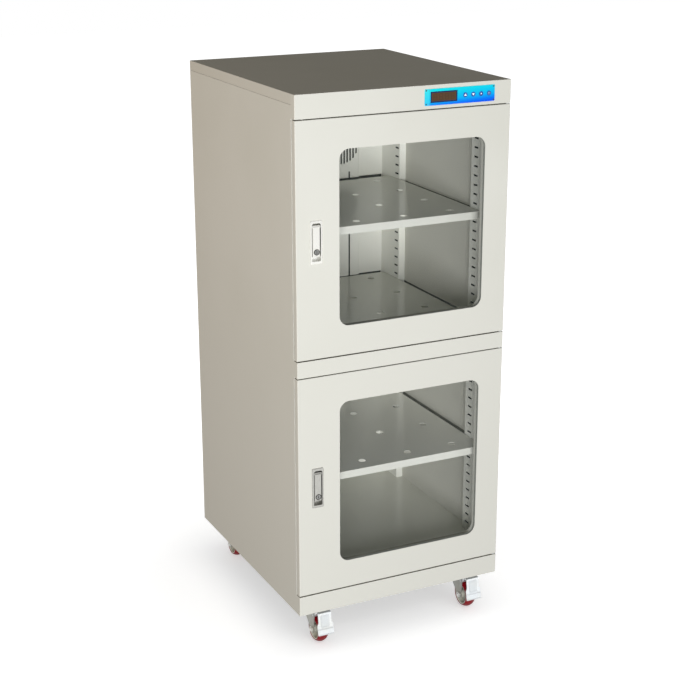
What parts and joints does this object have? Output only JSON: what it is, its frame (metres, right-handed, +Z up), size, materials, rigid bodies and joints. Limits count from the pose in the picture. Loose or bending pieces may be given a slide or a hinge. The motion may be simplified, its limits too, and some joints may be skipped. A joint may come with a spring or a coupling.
{
  "type": "two-door dry cabinet on casters",
  "caption": "Tall dry storage cabinet on casters: glazed upper and lower doors with lever locks, perforated shelves on slotted posts, a dryer at the back and a control panel on top.",
  "frame": {"origin": "on the floor under the middle of the cabinet's box", "axes": "+X to the right, +Y to the back, +Z up, seen from the front"},
  "size_m": [0.6, 0.713, 1.478],
  "materials": {
    "cabinet_paint": "satin powder coat, warm off-white",
    "interior_paint": "satin powder coat, warm off-white",
    "shelf_paint": "semi-gloss powder coat",
    "window_glass": "clear toughened",
    "seal_rubber": "matte",
    "lock_chrome": "satin chrome",
    "zinc_steel": "bright zinc",
    "overlay_film": "printed film",
    "display_window": "tinted window",
    "circuit_board": "solder mask",
    "key_plastic": "moulded",
    "dryer_plastic": "moulded",
    "desiccant": "granular pack in a perforated case",
    "black_plastic": "moulded",
    "wheel_plastic": "moulded nylon",
    "tyre_red": "cast polyurethane"
  },
  "bodies": {
    "cabinet": {"left_side_panel": "cabinet_paint", "right_side_panel": "cabinet_paint", "back_panel": "cabinet_paint", "inner_back_panel": "interior_paint", "top_cover": "cabinet_paint", "floor_panel": "interior_paint", "ceiling_panel": "interior_paint", "front_fascia": "cabinet_paint", "middle_rail": "cabinet_paint", "base_plinth": "cabinet_paint", "hinge_pins": "zinc_steel", "control_overlay": "overlay_film", "display_module": "display_window", "control_board": "circuit_board", "slotted_uprights": "interior_paint", "top_shelf": "shelf_paint", "middle_shelf": "shelf_paint", "bottom_shelf": "shelf_paint", "shelf_clips": "zinc_steel", "air_duct_cover": "interior_paint", "dryer_housing": "dryer_plastic", "desiccant_cartridge": "desiccant", "humidity_sensor": "dryer_plastic", "power_inlet": "black_plastic", "front_caster_plates": "zinc_steel", "rear_caster_brackets": "zinc_steel"},
    "upper_door": {"upper_door_skin": "cabinet_paint", "upper_door_liner": "cabinet_paint", "upper_door_glass": "window_glass", "upper_glass_gasket": "seal_rubber", "upper_door_seal": "seal_rubber", "upper_lock_case": "lock_chrome"},
    "upper_lever": {"upper_lock_lever": "lock_chrome"},
    "upper_key": {"upper_key_plug": "lock_chrome"},
    "lower_door": {"lower_door_skin": "cabinet_paint", "lower_door_liner": "cabinet_paint", "lower_door_glass": "window_glass", "lower_glass_gasket": "seal_rubber", "lower_door_seal": "seal_rubber", "lower_lock_case": "lock_chrome"},
    "lower_lever": {"lower_lock_lever": "lock_chrome"},
    "lower_key": {"lower_key_plug": "lock_chrome"},
    "up_key": {"up_key": "key_plastic"},
    "down_key": {"down_key": "key_plastic"},
    "set_key": {"set_key": "key_plastic"},
    "power_key": {"power_key": "key_plastic"},
    "inner_shutter": {"inner_shutter": "dryer_plastic"},
    "outer_shutter": {"outer_shutter": "dryer_plastic"},
    "left_swivel": {"left_caster_fork": "zinc_steel"},
    "left_wheel": {"left_caster_wheel": "wheel_plastic", "left_caster_tyre": "tyre_red"},
    "left_pedal": {"left_brake_pedal": "zinc_steel"},
    "rear_left_wheel": {"rear_left_wheel": "wheel_plastic", "rear_left_tyre": "tyre_red"},
    "right_swivel": {"right_caster_fork": "zinc_steel"},
    "right_wheel": {"right_caster_wheel": "wheel_plastic", "right_caster_tyre": "tyre_red"},
    "right_pedal": {"right_brake_pedal": "zinc_steel"},
    "rear_right_wheel": {"rear_right_wheel": "wheel_plastic", "rear_right_tyre": "tyre_red"}
  },
  "joints": [
    {"name": "upper_door_swing", "type": "hinge", "parent": "cabinet", "child": "upper_door", "pos_m": [0.2935, -0.3385, 1.115], "axis": [0, 0, 1], "range_deg": [0, 120]},
    {"name": "upper_lever_lift", "type": "hinge", "parent": "upper_door", "child": "upper_lever", "pos_m": [-0.246, -0.3425, 1.154], "axis": [-1, 0, 0], "range_deg": [0, 40]},
    {"name": "upper_key_turn", "type": "hinge", "parent": "upper_door", "child": "upper_key", "pos_m": [-0.246, -0.3455, 1.091], "axis": [0, 1, 0], "range_deg": [0, 90]},
    {"name": "lower_door_swing", "type": "hinge", "parent": "cabinet", "child": "lower_door", "pos_m": [0.2935, -0.3385, 0.464], "axis": [0, 0, 1], "range_deg": [0, 120]},
    {"name": "lower_lever_lift", "type": "hinge", "parent": "lower_door", "child": "lower_lever", "pos_m": [-0.246, -0.3425, 0.503], "axis": [-1, 0, 0], "range_deg": [0, 40]},
    {"name": "lower_key_turn", "type": "hinge", "parent": "lower_door", "child": "lower_key", "pos_m": [-0.246, -0.3455, 0.44], "axis": [0, 1, 0], "range_deg": [0, 90]},
    {"name": "up_key_press", "type": "slide", "parent": "cabinet", "child": "up_key", "axis": [0, 1, 0], "range_m": [0, 0.0007], "stiffness_N_per_m": 900},
    {"name": "down_key_press", "type": "slide", "parent": "cabinet", "child": "down_key", "axis": [0, 1, 0], "range_m": [0, 0.0007], "stiffness_N_per_m": 900},
    {"name": "set_key_press", "type": "slide", "parent": "cabinet", "child": "set_key", "axis": [0, 1, 0], "range_m": [0, 0.0007], "stiffness_N_per_m": 900},
    {"name": "power_key_press", "type": "slide", "parent": "cabinet", "child": "power_key", "axis": [0, 1, 0], "range_m": [0, 0.0007], "stiffness_N_per_m": 900},
    {"name": "left_swivel_turn", "type": "hinge", "parent": "cabinet", "child": "left_swivel", "pos_m": [-0.228, -0.2745, 0.106], "axis": [0, 0, 1], "continuous": true},
    {"name": "left_wheel_spin", "type": "hinge", "parent": "left_swivel", "child": "left_wheel", "pos_m": [-0.228, -0.3045, 0.0375], "axis": [1, 0, 0], "continuous": true},
    {"name": "left_pedal_press", "type": "hinge", "parent": "left_swivel", "child": "left_pedal", "pos_m": [-0.228, -0.3115, 0.081], "axis": [1, 0, 0], "range_deg": [0, 12]},
    {"name": "rear_left_wheel_spin", "type": "hinge", "parent": "cabinet", "child": "rear_left_wheel", "pos_m": [-0.228, 0.2835, 0.0375], "axis": [1, 0, 0], "continuous": true},
    {"name": "right_swivel_turn", "type": "hinge", "parent": "cabinet", "child": "right_swivel", "pos_m": [0.228, -0.2745, 0.106], "axis": [0, 0, 1], "continuous": true},
    {"name": "right_wheel_spin", "type": "hinge", "parent": "right_swivel", "child": "right_wheel", "pos_m": [0.228, -0.3045, 0.0375], "axis": [1, 0, 0], "continuous": true},
    {"name": "right_pedal_press", "type": "hinge", "parent": "right_swivel", "child": "right_pedal", "pos_m": [0.228, -0.3115, 0.081], "axis": [1, 0, 0], "range_deg": [0, 12]},
    {"name": "rear_right_wheel_spin", "type": "hinge", "parent": "cabinet", "child": "rear_right_wheel", "pos_m": [0.228, 0.2835, 0.0375], "axis": [1, 0, 0], "continuous": true},
    {"name": "inner_shutter_swing", "type": "hinge", "parent": "cabinet", "child": "inner_shutter", "pos_m": [0, 0.3247, 1.16], "axis": [1, 0, 0], "range_deg": [-45, 0]},
    {"name": "outer_shutter_swing", "type": "hinge", "parent": "cabinet", "child": "outer_shutter", "pos_m": [0, 0.3463, 1.16], "axis": [1, 0, 0], "range_deg": [-45, 0]}
  ],
  "couplings": [
    {"joint": "outer_shutter_swing", "follows": "inner_shutter_swing", "ratio": 1}
  ]
}
